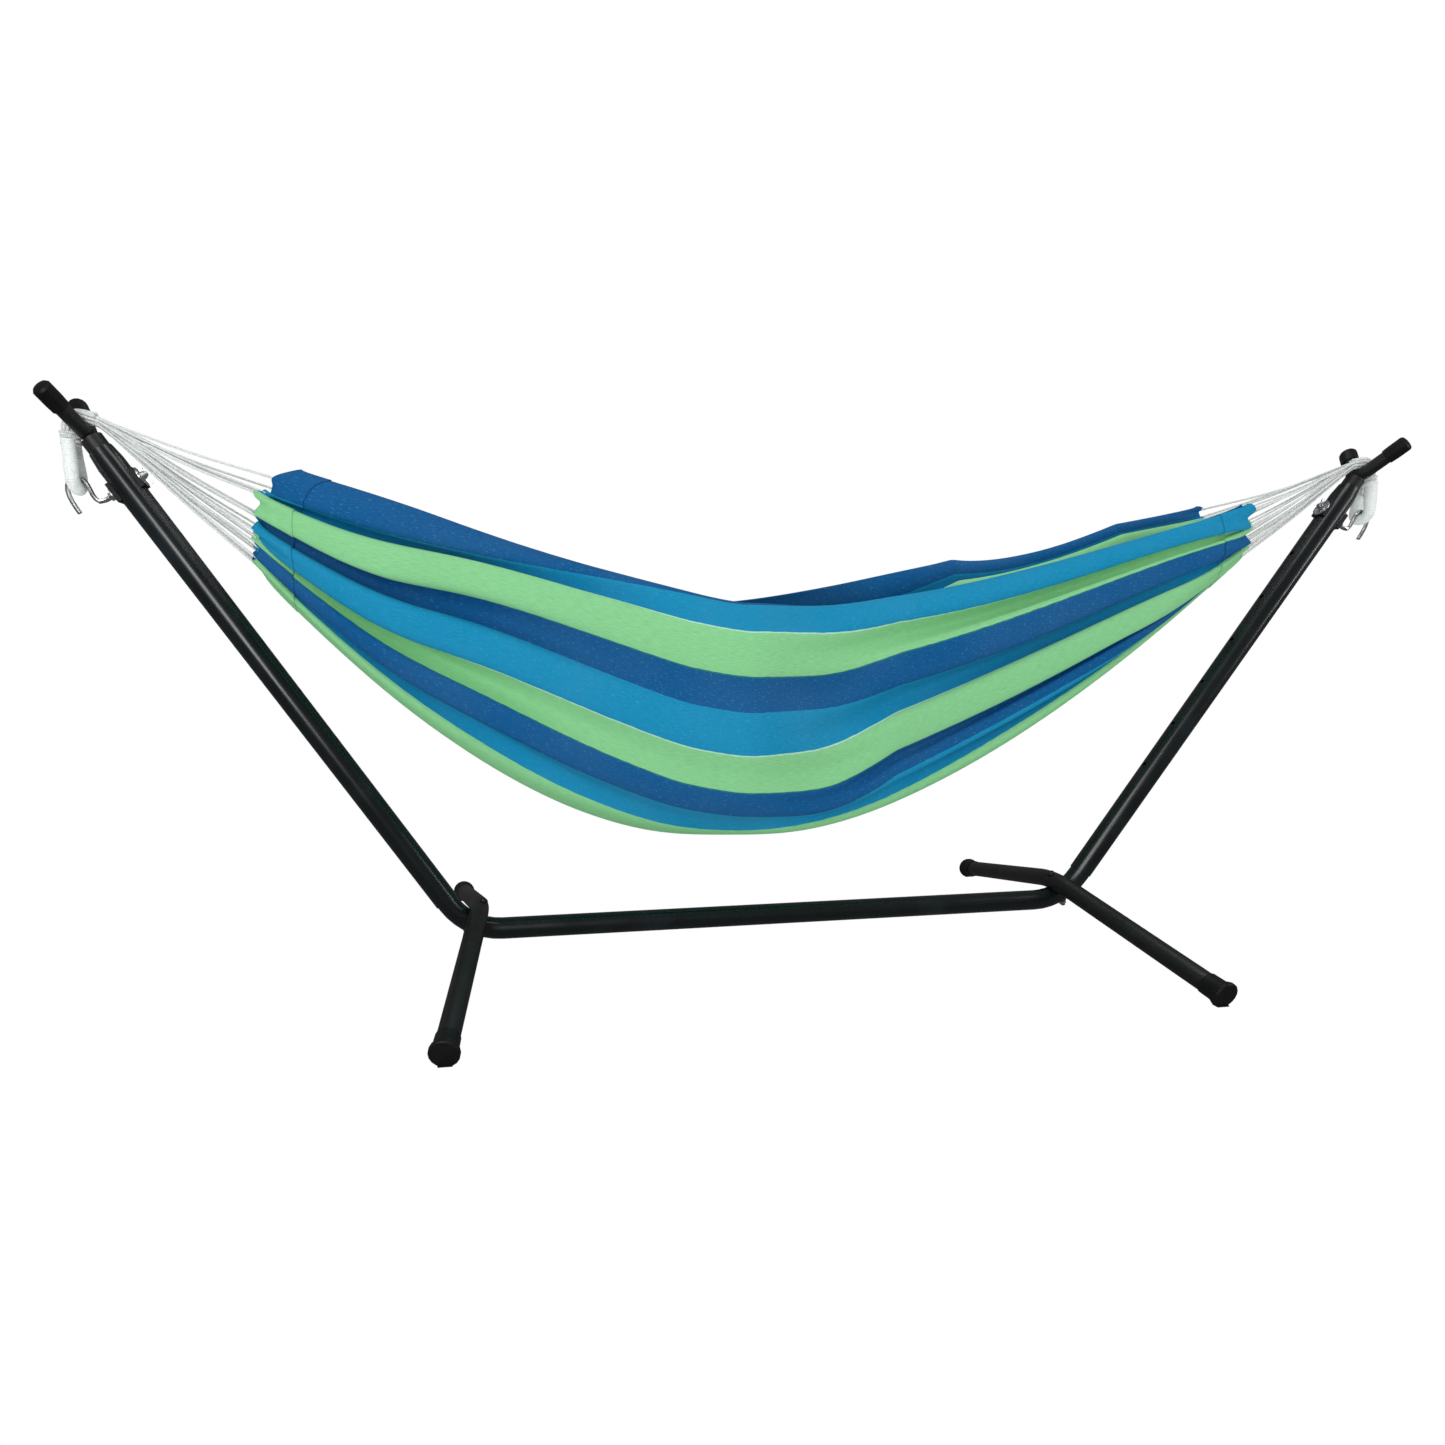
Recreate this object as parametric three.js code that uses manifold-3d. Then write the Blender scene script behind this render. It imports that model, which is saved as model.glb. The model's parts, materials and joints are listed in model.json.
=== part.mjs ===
// A hammock on its own steel stand: two sloping arms on a low base tube, two bent feet across
// it, and a striped cloth bed whose cords run over a fork at the top of each arm to a hook.
//
// Millimetres. +X runs along the hammock to its right end, +Y to the back, +Z up.
// The origin is on the floor under the middle of the base tube.

import * as THREE from 'three';
import * as BufferGeometryUtils from 'three/addons/utils/BufferGeometryUtils.js';
import Module from 'manifold-3d';

const wasm = await Module();
wasm.setup();

// ---------------------------------------------------------------- driving dimensions

const GAP = 0.3;                  // left between pieces that touch
const TUBE_SIDES = 18;
const ROD_SIDES = 10;

const ARM_RISE = THREE.MathUtils.degToRad(57.5);   // arm's slope above the floor
const CORNER_X = 686;             // where the arm's axis meets the base tube's axis
const BASE_HEIGHT = 73.4;         // base tube's axis above the floor
const ELBOW_RADIUS = 128;
const BASE_R = 23;
const BASE_WALL = 1.6;
const STUB_LENGTH = 150;          // elbow end that the arm slides over
const BASE_SLEEVE_LENGTH = 240;

const ARM_INNER_R = BASE_R + 0.4;
const ARM_R = 24.8;
const ARM_START = 77;             // distances along the arm start at the corner
const ARM_NECK_START = 1058;
const ARM_END = 1084;
const ARM_NECK_R = 21.6;
const HOLE_R = 4.8;
const HOLE_FIRST = 357;
const HOLE_PITCH = 110;
const HOLE_COUNT = 7;

const FORK_AT = 1106;             // where the fork's two prongs meet, along the arm
const FORK_BEND = 26;
const SHANK_R = 19.5;
const SHANK_START = 1030;
const PRONG_R = 13.8;
const PRONG_SPREAD = 66;          // prong tips either side of the arm's plane
const PRONG_RISE = 72;
const FORK_CAP_R = 16.8;
const FORK_CAP_LENGTH = 42;

const FOOT_R = 20;
const FOOT_WALL = 1.5;
const FOOT_LIFT = 33;             // foot's axis above the elbow's axis where they cross
const FOOT_END_X = 714;
const FOOT_END_Y = 482;
const FOOT_BEND = 60;
const FOOT_CAP_R = 26.5;
const FOOT_CAP_LENGTH = 46;
const FOOT_FLAT = 3;              // how deep the floor cuts into the round foot caps
const FOOT_PAD = [24, 14, 2.4];   // flat pad moulded under each foot cap

const BOLT_R = 4;
const ROD_R = 4;
const BORE_R = ROD_R + 0.4;

const PIVOT_X = 1268;             // plane where the free cords start inside each fork
const BUNDLE_R = 10;              // all the cords gathered, where they pass over the fork
const BUNDLE_AT = 1147;           // height of the bundle's centre, along the arm
const STRAND_R = 11;              // below the collar they divide into a whipped eye
const STRAND_Y = 13;
const EYE_Y = 17;
const EYE_BEND_Z = 941;           // centre of the eye's bottom bend
const EYE_TOP_Z = 985;

const CORD_R = 2;
const CORDS_PER_END = 24;
const HEM_START = 970;
const HEM_END = 1040;
const CLOTH_THICKNESS = 3;
const HEM_THICKNESS = 6;

// Hammock bed: it hangs lowest and spreads widest a little left of its middle. Each list holds
// the value at the left end, at the lowest place and at the right end.
const BED_LOWEST_X = -150;
const BED_BOTTOM = [790, 265, 820];
const BED_EDGE = [960, 745, 960];
const BED_HALF_WIDTH = [115, 245, 120];
const BOTTOM_BOW = 2;             // powers of the curves between: 1 is straight, 2 a parabola
const EDGE_BOW = 1.4;
const WIDTH_BOW = 1.2;

// ---------------------------------------------------------------- materials

function steel(name, color, roughness, metalness) {
  return new THREE.MeshStandardMaterial({ name, color, roughness, metalness });
}

const glossBlack = steel('gloss_black_steel', 0x0b0d0e, 0.28, 0.4);
const satinBlack = steel('satin_black_steel', 0x111111, 0.55, 0.3);
const blackPlastic = steel('black_plastic', 0x0a0a0a, 0.6, 0);
const zinc = steel('zinc_plate', 0xc4c8ca, 0.35, 1);
const innerSteel = steel('inner_sleeve_steel', 0x6b6e70, 0.5, 0.9);
const cottonCord = steel('cotton_cord', 0xe8ebe6, 0.9, 0);
const stripedCloth = steel('striped_cloth', 0x2a7fb4, 0.85, 0);

// ---------------------------------------------------------------- solids

function toSolid(geometry) {
  const plain = geometry.clone();
  plain.deleteAttribute('normal');
  plain.deleteAttribute('uv');
  const merged = BufferGeometryUtils.mergeVertices(plain, 1e-4);
  const triVerts = Uint32Array.from(merged.index.array);
  const vertProperties = Float32Array.from(merged.attributes.position.array);
  if (signedVolume(vertProperties, triVerts) < 0) {
    triVerts.reverse();
  }
  return new wasm.Manifold(new wasm.Mesh({ numProp: 3, vertProperties, triVerts }));
}

function signedVolume(positions, indices) {
  const [a, b, c] = [new THREE.Vector3(), new THREE.Vector3(), new THREE.Vector3()];
  let six = 0;
  for (let i = 0; i < indices.length; i += 3) {
    a.fromArray(positions, indices[i] * 3);
    b.fromArray(positions, indices[i + 1] * 3);
    c.fromArray(positions, indices[i + 2] * 3);
    six += a.dot(b.cross(c));
  }
  return six / 6;
}

function toGeometry(solid) {
  const { vertProperties, triVerts, numProp } = solid.getMesh();
  const positions = new Float32Array((vertProperties.length / numProp) * 3);
  for (let i = 0; i < positions.length / 3; i += 1) {
    positions.set(vertProperties.slice(i * numProp, i * numProp + 3), i * 3);
  }
  const geometry = new THREE.BufferGeometry();
  geometry.setAttribute('position', new THREE.BufferAttribute(positions, 3));
  geometry.setIndex(Array.from(triVerts));
  return geometry;
}

/** The first geometry joined with each of joined, then cut by each of cutters. */
function combine(first, joined, cutters) {
  let solid = toSolid(first);
  for (const geometry of joined) {
    solid = solid.add(toSolid(geometry));
  }
  for (const geometry of cutters) {
    solid = solid.subtract(toSolid(geometry));
  }
  return toGeometry(solid);
}

/** A cylinder from one height to another along +Z. */
function rod(radius, from, to, sides = ROD_SIDES) {
  const geometry = new THREE.CylinderGeometry(radius, radius, to - from, sides);
  return geometry.rotateX(Math.PI / 2).translate(0, 0, (from + to) / 2);
}

/** A closed profile of [radius, height] points turned about +Z. */
function turned(profile, sides) {
  const points = [...profile, profile[0]].map(([radius, height]) => new THREE.Vector2(radius, height));
  if (THREE.ShapeUtils.area(points) < 0) {
    points.reverse();
  }
  return new THREE.LatheGeometry(points, sides).rotateX(Math.PI / 2);
}

/** A path whose steps are its own corner points, so straight stretches need no extra rings. */
class CornerPath extends THREE.Curve {
  constructor(points) {
    super();
    this.points = points;
  }

  getPoint(t, target = new THREE.Vector3()) {
    const place = Math.min(Math.max(t, 0), 1) * (this.points.length - 1);
    const index = Math.min(Math.floor(place), this.points.length - 2);
    return target.lerpVectors(this.points[index], this.points[index + 1], place - index);
  }

  getUtoTmapping(u) {
    return u;
  }
}

/** A tube, or a solid bar where wall is 0, swept through the points. */
function swept(points, radius, wall, sides = TUBE_SIDES) {
  const section = new THREE.Shape();
  section.absarc(0, 0, radius, 0, Math.PI * 2);
  if (wall > 0) {
    const bore = new THREE.Path();
    bore.absarc(0, 0, radius - wall, 0, Math.PI * 2);
    section.holes.push(bore);
  }
  return new THREE.ExtrudeGeometry(section, {
    steps: points.length - 1,
    curveSegments: sides / 2,     // three.js doubles this for a full circle
    extrudePath: new CornerPath(points),
    bevelEnabled: false,
  });
}

/** Closed rings of equal length joined into one skin, with flat ends that face along X. */
function lofted(rings) {
  const count = rings[0].length;
  const positions = rings.flatMap((ring) => ring.flatMap((point) => point.toArray()));
  const indices = [];
  for (let i = 0; i < rings.length - 1; i += 1) {
    for (let j = 0; j < count; j += 1) {
      const a = i * count + j;
      const b = i * count + ((j + 1) % count);
      indices.push(a, b, b + count, a, b + count, a + count);
    }
  }
  for (const [index, ring] of [[0, rings[0]], [rings.length - 1, rings.at(-1)]]) {
    const outline = ring.map((point) => new THREE.Vector2(point.y, point.z));
    const faces = THREE.ShapeUtils.triangulateShape(outline, []);
    for (const [a, b, c] of faces) {
      const start = index * count;
      const corners = index === 0 ? [a, c, b] : [a, b, c];
      indices.push(...corners.map((corner) => start + corner));
    }
  }
  const geometry = new THREE.BufferGeometry();
  geometry.setAttribute('position', new THREE.Float32BufferAttribute(positions, 3));
  geometry.setIndex(indices);
  return geometry;
}

function stadium(halfLength, radius) {
  const shape = new THREE.Shape();
  shape.absarc(0, halfLength, radius, 0, Math.PI);
  shape.absarc(0, -halfLength, radius, Math.PI, Math.PI * 2);
  shape.closePath();
  return shape;
}

// ---------------------------------------------------------------- frames of reference

/** Right arm: +Z along the arm from the corner, +X outwards and down, +Y to the back. */
const ARM_FRAME = new THREE.Matrix4()
  .makeRotationY(Math.PI / 2 - ARM_RISE)
  .setPosition(CORNER_X, 0, BASE_HEIGHT);

/** Right foot bolt: +Z up through the elbow's middle, square to the bend. */
const ELBOW_SHORTCUT = ELBOW_RADIUS * (1 / Math.cos(ARM_RISE / 2) - 1);
const BOLT_TILT = ARM_RISE / 2;
const BOLT_FRAME = new THREE.Matrix4()
  .makeRotationY(-BOLT_TILT)
  .setPosition(
    CORNER_X - ELBOW_SHORTCUT * Math.sin(BOLT_TILT),
    0,
    BASE_HEIGHT + ELBOW_SHORTCUT * Math.cos(BOLT_TILT),
  );

function onArm(outward, y, along) {
  return new THREE.Vector3(outward, y, along).applyMatrix4(ARM_FRAME);
}

/** Turns a piece that points along +Z so that it points along direction from place. */
function aimed(geometry, place, direction) {
  const turn = new THREE.Quaternion().setFromUnitVectors(new THREE.Vector3(0, 0, 1), direction);
  return geometry.applyQuaternion(turn).translate(place.x, place.y, place.z);
}

// ---------------------------------------------------------------- base and arms

function basePath(startX, stubLength) {
  const tangent = ELBOW_RADIUS * Math.tan(ARM_RISE / 2);
  const points = [new THREE.Vector3(startX, 0, BASE_HEIGHT)];
  const bendSteps = 7;
  for (let i = 0; i <= bendSteps; i += 1) {
    const angle = (ARM_RISE * i) / bendSteps;
    points.push(new THREE.Vector3(
      CORNER_X - tangent + ELBOW_RADIUS * Math.sin(angle),
      0,
      BASE_HEIGHT + ELBOW_RADIUS * (1 - Math.cos(angle)),
    ));
  }
  points.push(onArm(0, 0, tangent + stubLength));
  return points;
}

function boltHole() {
  return rod(BOLT_R + 0.5, -60, 90).applyMatrix4(BOLT_FRAME);
}

function baseTube() {
  const tube = swept(basePath(GAP / 2, STUB_LENGTH), BASE_R, BASE_WALL);
  return combine(tube, [], [boltHole()]);
}

function baseJointSleeve() {
  const outer = BASE_R - BASE_WALL - 0.4;
  const half = BASE_SLEEVE_LENGTH / 2;
  const profile = [[outer, -half], [outer, half], [outer - 1.6, half], [outer - 1.6, -half]];
  return turned(profile, TUBE_SIDES).rotateY(Math.PI / 2).translate(0, 0, BASE_HEIGHT);
}

function armTube() {
  const neckBore = SHANK_R + 0.3;
  const profile = [
    [ARM_R, ARM_START],
    [ARM_R, ARM_NECK_START],
    [ARM_NECK_R, ARM_END],
    [neckBore, ARM_END],
    [ARM_INNER_R, ARM_NECK_START - 2],
    [ARM_INNER_R, ARM_START],
  ];
  const holes = [];
  for (let i = 0; i < HOLE_COUNT; i += 1) {
    const hole = rod(HOLE_R, -40, 40, 10).rotateY(Math.PI / 2);
    holes.push(hole.translate(0, 0, HOLE_FIRST + i * HOLE_PITCH));
  }
  return combine(turned(profile, TUBE_SIDES), [], holes).applyMatrix4(ARM_FRAME);
}

// ---------------------------------------------------------------- forks

/** Centre line of the V, in the arm's frame, from the front tip to the back one. */
function forkPath() {
  const corner = new THREE.Vector3(0, 0, FORK_AT);
  const tip = (side) => new THREE.Vector3(0, side * PRONG_SPREAD, FORK_AT + PRONG_RISE);
  const towards = (side) => tip(side).sub(corner).setLength(FORK_BEND).add(corner);
  const bend = new THREE.QuadraticBezierCurve3(towards(-1), corner, towards(1));
  return [tip(-1), ...bend.getPoints(6), tip(1)];
}

function fork() {
  const bar = swept(forkPath(), PRONG_R, 0, 14);
  const shank = rod(SHANK_R, SHANK_START, FORK_AT, TUBE_SIDES);
  return combine(shank, [bar], []).applyMatrix4(ARM_FRAME);
}

function forkCap(side) {
  const path = side > 0 ? forkPath() : forkPath().reverse();
  const [before, tip] = path.slice(-2);
  const direction = tip.clone().sub(before).normalize();
  const bore = PRONG_R + 2 * GAP;
  const skirt = GAP - FORK_CAP_LENGTH + 8;
  const profile = [
    [0, GAP],
    [bore, GAP],
    [bore, skirt],
    [bore + 1.6, skirt],
    [FORK_CAP_R, skirt + 14],
    [FORK_CAP_R, 3],
    [FORK_CAP_R * 0.8, 6.5],
    [FORK_CAP_R * 0.4, 8],
    [0, 8.3],
  ];
  return aimed(turned(profile, 16), tip, direction).applyMatrix4(ARM_FRAME);
}

// ---------------------------------------------------------------- feet

const FOOT_END_Z = FOOT_CAP_R - FOOT_FLAT;

function footEnd(side) {
  return new THREE.Vector3(FOOT_END_X, side * FOOT_END_Y, FOOT_END_Z);
}

/** Highest point of the foot's axis, where it crosses the elbow. */
function footTop() {
  const curveDrop = 6;
  const top = new THREE.Vector3(0, 0, FOOT_LIFT).applyMatrix4(BOLT_FRAME);
  return top.add(new THREE.Vector3(-curveDrop / 2, 0, curveDrop));
}

function footPath() {
  const corner = footTop();
  const towards = (side) => footEnd(side).sub(corner).setLength(FOOT_BEND).add(corner);
  const bend = new THREE.QuadraticBezierCurve3(towards(-1), corner, towards(1));
  return [footEnd(-1), ...bend.getPoints(6), footEnd(1)];
}

function footTube() {
  const tube = swept(footPath(), FOOT_R, FOOT_WALL);
  const elbow = swept(basePath(CORNER_X - 300, 60), BASE_R + GAP + 0.1, 0);
  return combine(tube, [], [elbow, boltHole()]);
}

function footCap(side) {
  const end = footEnd(side);
  const direction = end.clone().sub(footTop()).normalize();
  const bore = FOOT_R + GAP;
  const skirt = 4 + GAP - FOOT_CAP_LENGTH;
  const profile = [
    [0, GAP],
    [bore, GAP],
    [bore, skirt],
    [bore + 1.6, skirt],
    [bore + 2.2, -14],
    [FOOT_CAP_R, -5],
    [FOOT_CAP_R, 2],
    [FOOT_CAP_R - 2, 4 + GAP],
    [0, 4 + GAP],
  ];
  const cap = aimed(turned(profile, TUBE_SIDES), end, direction);
  const [padX, padY, padZ] = FOOT_PAD;
  const pad = new THREE.BoxGeometry(padX, padY, padZ).translate(end.x, end.y - side * 5, padZ / 2);
  const floorCut = new THREE.BoxGeometry(200, 200, 40).translate(end.x, end.y, -20);
  return combine(cap, [pad], [floorCut]);
}

function footBolt() {
  const headFrom = FOOT_LIFT + FOOT_R + 0.6;
  const head = turned([
    [0, headFrom], [9, headFrom], [8, headFrom + 3], [4.5, headFrom + 5], [0, headFrom + 5.5],
  ], 16);
  return combine(rod(BOLT_R, -36, headFrom + 1), [head], []).applyMatrix4(BOLT_FRAME);
}

function footBoltWasher() {
  const top = -BASE_R - GAP;
  const profile = [[BOLT_R + 0.4, top], [9.5, top], [9.5, top - 1.6], [BOLT_R + 0.4, top - 1.6]];
  return turned(profile, 12).applyMatrix4(BOLT_FRAME);
}

function hexNut(from, to) {
  const hexRadius = 7.5;
  return combine(rod(hexRadius, from, to, 6), [], [rod(BORE_R, from - 5, to + 5)]);
}

function footNut() {
  const top = -BASE_R - 1.6 - 2 * GAP;
  return hexNut(top - 6.5, top).applyMatrix4(BOLT_FRAME);
}

// ---------------------------------------------------------------- hook hardware

/** Puts a piece built along +Z onto the hook rod's axis, +Z pointing outwards from the arm. */
function onHookAxis(geometry) {
  const hookHole = HOLE_FIRST + (HOLE_COUNT - 1) * HOLE_PITCH;
  return geometry.rotateY(Math.PI / 2).translate(0, 0, hookHole).applyMatrix4(ARM_FRAME);
}

const SADDLE_TOP = ARM_R + GAP + 3;
const WASHER_THICKNESS = 1.6;
const NUT_START = SADDLE_TOP + WASHER_THICKNESS + 2 * GAP;

/** A plastic pad between the round tube and a flat washer; side is 1 outside, -1 inside. */
function saddle(side) {
  const block = new THREE.BoxGeometry(34, 30, 14).translate(0, 0, SADDLE_TOP - 7);
  const tube = rod(ARM_R + GAP, -40, 40, TUBE_SIDES).rotateY(Math.PI / 2);
  const pad = combine(block, [], [tube, rod(BORE_R, 0, 60)]);
  return onHookAxis(side > 0 ? pad : pad.rotateY(Math.PI));
}

function washer(side, radius) {
  const from = SADDLE_TOP + GAP;
  const to = from + WASHER_THICKNESS;
  const disc = turned([[BORE_R, from], [radius, from], [radius, to], [BORE_R, to]], 14);
  return onHookAxis(side > 0 ? disc : disc.rotateY(Math.PI));
}

function hookNut() {
  return onHookAxis(hexNut(NUT_START, NUT_START + 6.5));
}

function wingNut() {
  const hubTop = NUT_START + 7;
  const hub = turned([[0, NUT_START], [8.5, NUT_START], [6.5, hubTop], [0, hubTop]], 16);
  const outline = new THREE.Shape();
  outline.moveTo(4, NUT_START + 1.5);
  outline.lineTo(8, NUT_START + 1.5);
  outline.quadraticCurveTo(18, NUT_START + 2, 18, NUT_START + 7);
  outline.quadraticCurveTo(17, NUT_START + 11, 13, NUT_START + 10);
  outline.lineTo(4, hubTop - 0.5);
  outline.closePath();
  const flat = { depth: 2.4, bevelEnabled: false, curveSegments: 4 };
  const wing = new THREE.ExtrudeGeometry(outline, flat).translate(0, 0, -1.2).rotateX(Math.PI / 2);
  const otherWing = wing.clone().rotateZ(Math.PI);
  const nut = combine(hub, [wing, otherWing], [rod(BORE_R, 0, 80)]);
  return onHookAxis(nut.rotateY(Math.PI));
}

/** Straight through the arm, then up, over and down: the eye hangs under the arch. */
function hookPoints() {
  const hookHole = HOLE_FIRST + (HOLE_COUNT - 1) * HOLE_PITCH;
  const threadEnd = onArm(-41, 0, hookHole);
  const straightEnd = onArm(42, 0, hookHole);
  const arch = [
    [1282, 904], [1290, 911], [1295, 923], [1300, 934.5], [1308, 940.8], [1318, 940.8],
    [1327, 935.5], [1331, 926], [1330, 912], [1324, 897], [1317, 884],
  ].map(([x, z]) => new THREE.Vector3(x, 0, z));
  const bend = new THREE.CatmullRomCurve3([onArm(36, 0, hookHole), straightEnd, ...arch]).getPoints(18);
  return [threadEnd, ...bend];
}

function hookRod() {
  return swept(hookPoints(), ROD_R, 0, ROD_SIDES);
}

// ---------------------------------------------------------------- cords and cloth

const bundleTop = onArm(0, 0, BUNDLE_AT);
const EYE_X = bundleTop.x + 12;

/** The bundle from inside the fork, over the V, dividing into the eye that hangs on the hook. */
function eyeRope() {
  const bundle = swept([
    new THREE.Vector3(PIVOT_X, 0, bundleTop.z - 4),
    new THREE.Vector3(bundleTop.x - 6, 0, bundleTop.z + 1),
    new THREE.Vector3(bundleTop.x + 5, 0, bundleTop.z - 3),
    new THREE.Vector3(EYE_X, 0, bundleTop.z - 17),
    new THREE.Vector3(EYE_X, 0, EYE_TOP_Z),
  ], BUNDLE_R, 0, 12);
  const limb = [
    new THREE.Vector3(EYE_X, 4, EYE_TOP_Z + 6),
    new THREE.Vector3(EYE_X, STRAND_Y, EYE_TOP_Z - 8),
  ];
  const bendSteps = 4;
  for (let i = 0; i <= bendSteps; i += 1) {
    const angle = (Math.PI / 2) * (i / bendSteps);
    const [y, z] = [EYE_Y * Math.cos(angle), EYE_BEND_Z - EYE_Y * Math.sin(angle)];
    limb.push(new THREE.Vector3(EYE_X, y, z));
  }
  const otherLimb = limb.slice(0, -1).reverse().map((point) => new THREE.Vector3(point.x, -point.y, point.z));
  const eye = swept([...limb, ...otherLimb], STRAND_R, 0, 10);
  return combine(bundle, [eye], []);
}

function whippingCollar() {
  const outer = BUNDLE_R + 7;
  const bore = BUNDLE_R + 2 * GAP;
  const band = turned([[bore, 0], [outer - 2, 0], [outer, 5], [outer - 2, 12], [bore, 12]], 14);
  return band.translate(EYE_X, 0, EYE_TOP_Z + 14);
}

/** A value that changes from the bed's lowest place towards both its ends, read at x. */
function along([left, lowest, right], bow, x) {
  const [value, endX] = x < BED_LOWEST_X ? [left, -HEM_END] : [right, HEM_END];
  const share = (x - BED_LOWEST_X) / (endX - BED_LOWEST_X);
  return lowest + (value - lowest) * share ** bow;
}

/** A point of the bed's surface; across runs from -1, the front edge, to 1, the back edge. */
function bedPoint(x, across, offset) {
  const bottom = along(BED_BOTTOM, BOTTOM_BOW, x);
  const depth = along(BED_EDGE, EDGE_BOW, x) - bottom;
  const halfWidth = along(BED_HALF_WIDTH, WIDTH_BOW, x);
  const angle = (across * Math.PI) / 2;
  return new THREE.Vector3(
    x,
    (halfWidth + offset) * Math.sin(angle),
    bottom + depth - (depth + offset) * Math.cos(angle),
  );
}

function clothShell(from, to, thickness, steps, sectionSteps) {
  const rings = [];
  for (let i = 0; i <= steps; i += 1) {
    const x = THREE.MathUtils.lerp(from, to, i / steps);
    const outer = [];
    const inner = [];
    for (let j = 0; j <= sectionSteps; j += 1) {
      const across = (2 * j) / sectionSteps - 1;
      outer.push(bedPoint(x, across, thickness / 2));
      inner.unshift(bedPoint(x, across, -thickness / 2));
    }
    rings.push([...outer, ...inner]);
  }
  return lofted(rings);
}

/** Cords that spread from inside the fork to the hem; side is 1 at the right, -1 at the left. */
function clewCords(side) {
  const start = new THREE.Vector3(side * (PIVOT_X - 3), 0, bundleTop.z - 4);
  const ring = (x, z, halfY, halfZ) => Array.from({ length: 12 }, (_, i) => {
    const angle = (i / 12) * Math.PI * 2;
    return new THREE.Vector3(x, halfY * Math.cos(angle), z + halfZ * Math.sin(angle));
  });
  const throat = lofted([
    ring(start.x, start.z, BUNDLE_R, BUNDLE_R),
    ring(start.x - side * 40, start.z - 24, BUNDLE_R + 3, BUNDLE_R + 4),
  ]);
  const cords = [];
  for (let i = 0; i < CORDS_PER_END; i += 1) {
    const across = ((i + 0.5) / CORDS_PER_END) * 2 - 1;
    const end = bedPoint(side * HEM_END, across, 0);
    end.x += side * GAP;
    const from = start.clone().lerp(end, 0.05);
    cords.push(swept([from, end], CORD_R, 0, 6));
  }
  const hemFace = new THREE.BoxGeometry(60, 400, 400)
    .translate(side * (HEM_END + GAP - 30), 0, start.z - 150);
  return combine(throat, cords, [hemFace]);
}

// ---------------------------------------------------------------- assembly

const hammock = new THREE.Group();

function add(name, geometry, material) {
  const mesh = new THREE.Mesh(geometry, material);
  mesh.name = name;
  hammock.add(mesh);
}

function mirrored(geometry) {
  return toGeometry(toSolid(geometry.clone().scale(-1, 1, 1)));
}

/** Adds the right-hand piece and its mirror image at the left end. */
function addPair(name, geometry, material) {
  add(`right_${name}`, geometry, material);
  add(`left_${name}`, mirrored(geometry), material);
}

addPair('base_tube', baseTube(), glossBlack);
add('base_joint_sleeve', baseJointSleeve(), innerSteel);
addPair('arm_tube', armTube(), glossBlack);
addPair('fork', fork(), satinBlack);
addPair('fork_cap_front', forkCap(-1), blackPlastic);
addPair('fork_cap_back', forkCap(1), blackPlastic);

addPair('foot_tube', footTube(), satinBlack);
addPair('foot_cap_front', footCap(-1), blackPlastic);
addPair('foot_cap_back', footCap(1), blackPlastic);
addPair('foot_bolt', footBolt(), satinBlack);
addPair('foot_bolt_washer', footBoltWasher(), zinc);
addPair('foot_bolt_nut', footNut(), zinc);

addPair('hook_rod', hookRod(), zinc);
addPair('outer_saddle', saddle(1), blackPlastic);
addPair('inner_saddle', saddle(-1), blackPlastic);
addPair('outer_washer', washer(1, 14), zinc);
addPair('inner_washer', washer(-1, 17.5), zinc);
addPair('hook_nut', hookNut(), zinc);
addPair('wing_nut', wingNut(), zinc);

addPair('eye_rope', eyeRope(), cottonCord);
addPair('whipping_collar', whippingCollar(), cottonCord);
add('left_clew_cords', clewCords(-1), cottonCord);
add('right_clew_cords', clewCords(1), cottonCord);

const bedEnd = HEM_START - GAP;
add('hammock_bed', clothShell(-bedEnd, bedEnd, CLOTH_THICKNESS, 18, 14), stripedCloth);
add('left_hem', clothShell(-HEM_END, -HEM_START, HEM_THICKNESS, 1, 14), stripedCloth);
add('right_hem', clothShell(HEM_START, HEM_END, HEM_THICKNESS, 1, 14), stripedCloth);

export default hammock;
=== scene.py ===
"""The looks of a hammock on its own steel stand: striped cloth, cords, whipped ropes, black tubes.

Metres. +X runs along the hammock to its right end, +Y to the back, +Z up.
"""

import json
import math
import random

import bpy
import numpy as np
from mathutils import Matrix, Vector


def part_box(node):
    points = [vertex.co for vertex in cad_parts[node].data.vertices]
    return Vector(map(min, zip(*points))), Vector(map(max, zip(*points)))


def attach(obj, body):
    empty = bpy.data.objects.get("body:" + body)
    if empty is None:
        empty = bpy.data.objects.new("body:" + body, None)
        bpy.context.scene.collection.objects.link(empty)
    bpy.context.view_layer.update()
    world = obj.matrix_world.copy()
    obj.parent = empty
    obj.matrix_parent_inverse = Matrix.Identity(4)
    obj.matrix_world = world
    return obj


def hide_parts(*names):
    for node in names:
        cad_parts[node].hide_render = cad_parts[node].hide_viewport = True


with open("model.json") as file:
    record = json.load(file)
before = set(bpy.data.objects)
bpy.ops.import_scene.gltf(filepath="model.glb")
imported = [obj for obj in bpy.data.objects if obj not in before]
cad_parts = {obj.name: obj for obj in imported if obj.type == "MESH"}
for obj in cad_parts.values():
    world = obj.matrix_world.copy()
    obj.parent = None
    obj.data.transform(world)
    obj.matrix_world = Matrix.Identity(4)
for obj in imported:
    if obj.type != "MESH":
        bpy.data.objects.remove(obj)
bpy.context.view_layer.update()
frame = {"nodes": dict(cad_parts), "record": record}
random.seed(7)

# ------------------------------------------------------------------ driving dimensions

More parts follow.
